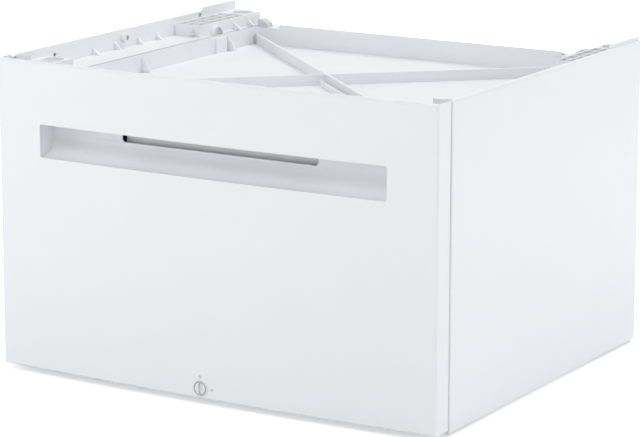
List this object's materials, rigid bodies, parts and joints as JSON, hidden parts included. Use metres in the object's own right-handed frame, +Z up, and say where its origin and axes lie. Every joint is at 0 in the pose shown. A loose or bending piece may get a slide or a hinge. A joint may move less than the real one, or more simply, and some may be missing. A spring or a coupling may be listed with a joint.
{
  "type": "laundry pedestal",
  "caption": "White box pedestal for a laundry machine, with a bowed pull-out drawer, a scooped handle, a coin lock, a ribbed top tray with foot sockets and levelling feet.",
  "frame": {"origin": "middle of the bounding box on the floor, under the closed drawer", "axes": "+Z up, -Y towards the drawer front, +X to the right seen from the front"},
  "size_m": [0.598, 0.5258, 0.3875],
  "materials": {
    "white_enamel": "smooth semi-gloss white enamel on sheet steel",
    "white_moulding": "fine-grained white moulded plastic",
    "drawer_enamel": "satin white powder coat",
    "galvanised_steel": "galvanised sheet with faint spangle",
    "runner_steel": "zinc-plated roll-formed steel",
    "bright_steel": "bright zinc-plated steel",
    "lock_plastic": "white moulded plastic, slightly greyer than the front",
    "grey_plastic": "grey moulded plastic",
    "black_rubber": "matt black rubber"
  },
  "bodies": {
    "cabinet": {"left_side_panel": "white_enamel", "right_side_panel": "white_enamel", "rear_panel": "galvanised_steel", "rear_panel_screws": "bright_steel", "top_tray": "white_moulding", "left_foot_rail": "white_moulding", "right_foot_rail": "white_moulding", "rail_screws": "bright_steel", "rear_clips": "grey_plastic", "left_front_post": "galvanised_steel", "right_front_post": "galvanised_steel", "left_rear_post": "galvanised_steel", "right_rear_post": "galvanised_steel", "left_base_rail": "galvanised_steel", "right_base_rail": "galvanised_steel", "front_cross_rail": "galvanised_steel", "rear_cross_rail": "galvanised_steel", "front_top_rail": "galvanised_steel", "rear_top_rail": "galvanised_steel", "lock_keeper": "galvanised_steel", "keeper_screws": "bright_steel", "left_outer_runner": "runner_steel", "right_outer_runner": "runner_steel", "runner_rivets": "bright_steel", "foot_lock_nuts": "bright_steel", "foot_weld_nuts": "bright_steel"},
    "drawer": {"drawer_front_panel": "white_enamel", "drawer_inner_panel": "drawer_enamel", "handle_trough": "white_moulding", "grip_plate": "white_moulding", "drawer_floor": "drawer_enamel", "left_drawer_side": "drawer_enamel", "right_drawer_side": "drawer_enamel", "drawer_back": "drawer_enamel", "drawer_screws": "bright_steel", "drawer_buffers": "black_rubber", "drawer_rivets": "bright_steel", "left_inner_runner": "runner_steel", "right_inner_runner": "runner_steel", "lock_housing": "lock_plastic", "lock_nut": "bright_steel"},
    "runner_middles": {"left_middle_runner": "runner_steel", "right_middle_runner": "runner_steel"},
    "outer_cages": {"left_outer_ball_cage": "runner_steel", "right_outer_ball_cage": "runner_steel", "outer_balls": "bright_steel"},
    "inner_cages": {"left_inner_ball_cage": "runner_steel", "right_inner_ball_cage": "runner_steel", "inner_balls": "bright_steel"},
    "lock": {"lock_barrel": "lock_plastic", "lock_cam": "bright_steel", "lock_cam_screw": "bright_steel"},
    "front_left_pad": {"left_front_foot_pad": "black_rubber"},
    "front_left_stem": {"left_front_foot_stem": "bright_steel"},
    "front_right_pad": {"right_front_foot_pad": "black_rubber"},
    "front_right_stem": {"right_front_foot_stem": "bright_steel"},
    "rear_left_pad": {"left_rear_foot_pad": "black_rubber"},
    "rear_left_stem": {"left_rear_foot_stem": "bright_steel"},
    "rear_right_pad": {"right_rear_foot_pad": "black_rubber"},
    "rear_right_stem": {"right_rear_foot_stem": "bright_steel"}
  },
  "joints": [
    {"name": "drawer_slide", "type": "slide", "parent": "cabinet", "child": "drawer", "axis": [0, -1, 0], "range_m": [0, 0.4]},
    {"name": "runner_middle_slide", "type": "slide", "parent": "cabinet", "child": "runner_middles", "axis": [0, -1, 0], "range_m": [0, 0.2]},
    {"name": "outer_cage_slide", "type": "slide", "parent": "cabinet", "child": "outer_cages", "axis": [0, -1, 0], "range_m": [0, 0.1]},
    {"name": "inner_cage_slide", "type": "slide", "parent": "cabinet", "child": "inner_cages", "axis": [0, -1, 0], "range_m": [0, 0.3]},
    {"name": "lock_turn", "type": "hinge", "parent": "drawer", "child": "lock", "pos_m": [-0.009, -0.262, 0.0205], "axis": [0, 1, 0], "range_deg": [0, 90]},
    {"name": "front_left_foot_slide", "type": "slide", "parent": "cabinet", "child": "front_left_pad", "axis": [0, 0, -1], "range_m": [0, 0.015]},
    {"name": "front_left_stem_turn", "type": "hinge", "parent": "front_left_pad", "child": "front_left_stem", "pos_m": [-0.25818, -0.1691, 0], "axis": [0, 0, -1], "range_deg": [0, 3600]},
    {"name": "front_right_foot_slide", "type": "slide", "parent": "cabinet", "child": "front_right_pad", "axis": [0, 0, -1], "range_m": [0, 0.015]},
    {"name": "front_right_stem_turn", "type": "hinge", "parent": "front_right_pad", "child": "front_right_stem", "pos_m": [0.25818, -0.1691, 0], "axis": [0, 0, -1], "range_deg": [0, 3600]},
    {"name": "rear_left_foot_slide", "type": "slide", "parent": "cabinet", "child": "rear_left_pad", "axis": [0, 0, -1], "range_m": [0, 0.015]},
    {"name": "rear_left_stem_turn", "type": "hinge", "parent": "rear_left_pad", "child": "rear_left_stem", "pos_m": [-0.25818, 0.2079, 0], "axis": [0, 0, -1], "range_deg": [0, 3600]},
    {"name": "rear_right_foot_slide", "type": "slide", "parent": "cabinet", "child": "rear_right_pad", "axis": [0, 0, -1], "range_m": [0, 0.015]},
    {"name": "rear_right_stem_turn", "type": "hinge", "parent": "rear_right_pad", "child": "rear_right_stem", "pos_m": [0.25818, 0.2079, 0], "axis": [0, 0, -1], "range_deg": [0, 3600]}
  ],
  "couplings": [
    {"joint": "runner_middle_slide", "follows": "drawer_slide", "ratio": 0.5},
    {"joint": "outer_cage_slide", "follows": "drawer_slide", "ratio": 0.25},
    {"joint": "inner_cage_slide", "follows": "drawer_slide", "ratio": 0.75},
    {"joint": "front_left_stem_turn", "follows": "front_left_foot_slide", "rad_per_m": 4188.8},
    {"joint": "front_right_stem_turn", "follows": "front_right_foot_slide", "rad_per_m": 4188.8},
    {"joint": "rear_left_stem_turn", "follows": "rear_left_foot_slide", "rad_per_m": 4188.8},
    {"joint": "rear_right_stem_turn", "follows": "rear_right_foot_slide", "rad_per_m": 4188.8}
  ]
}
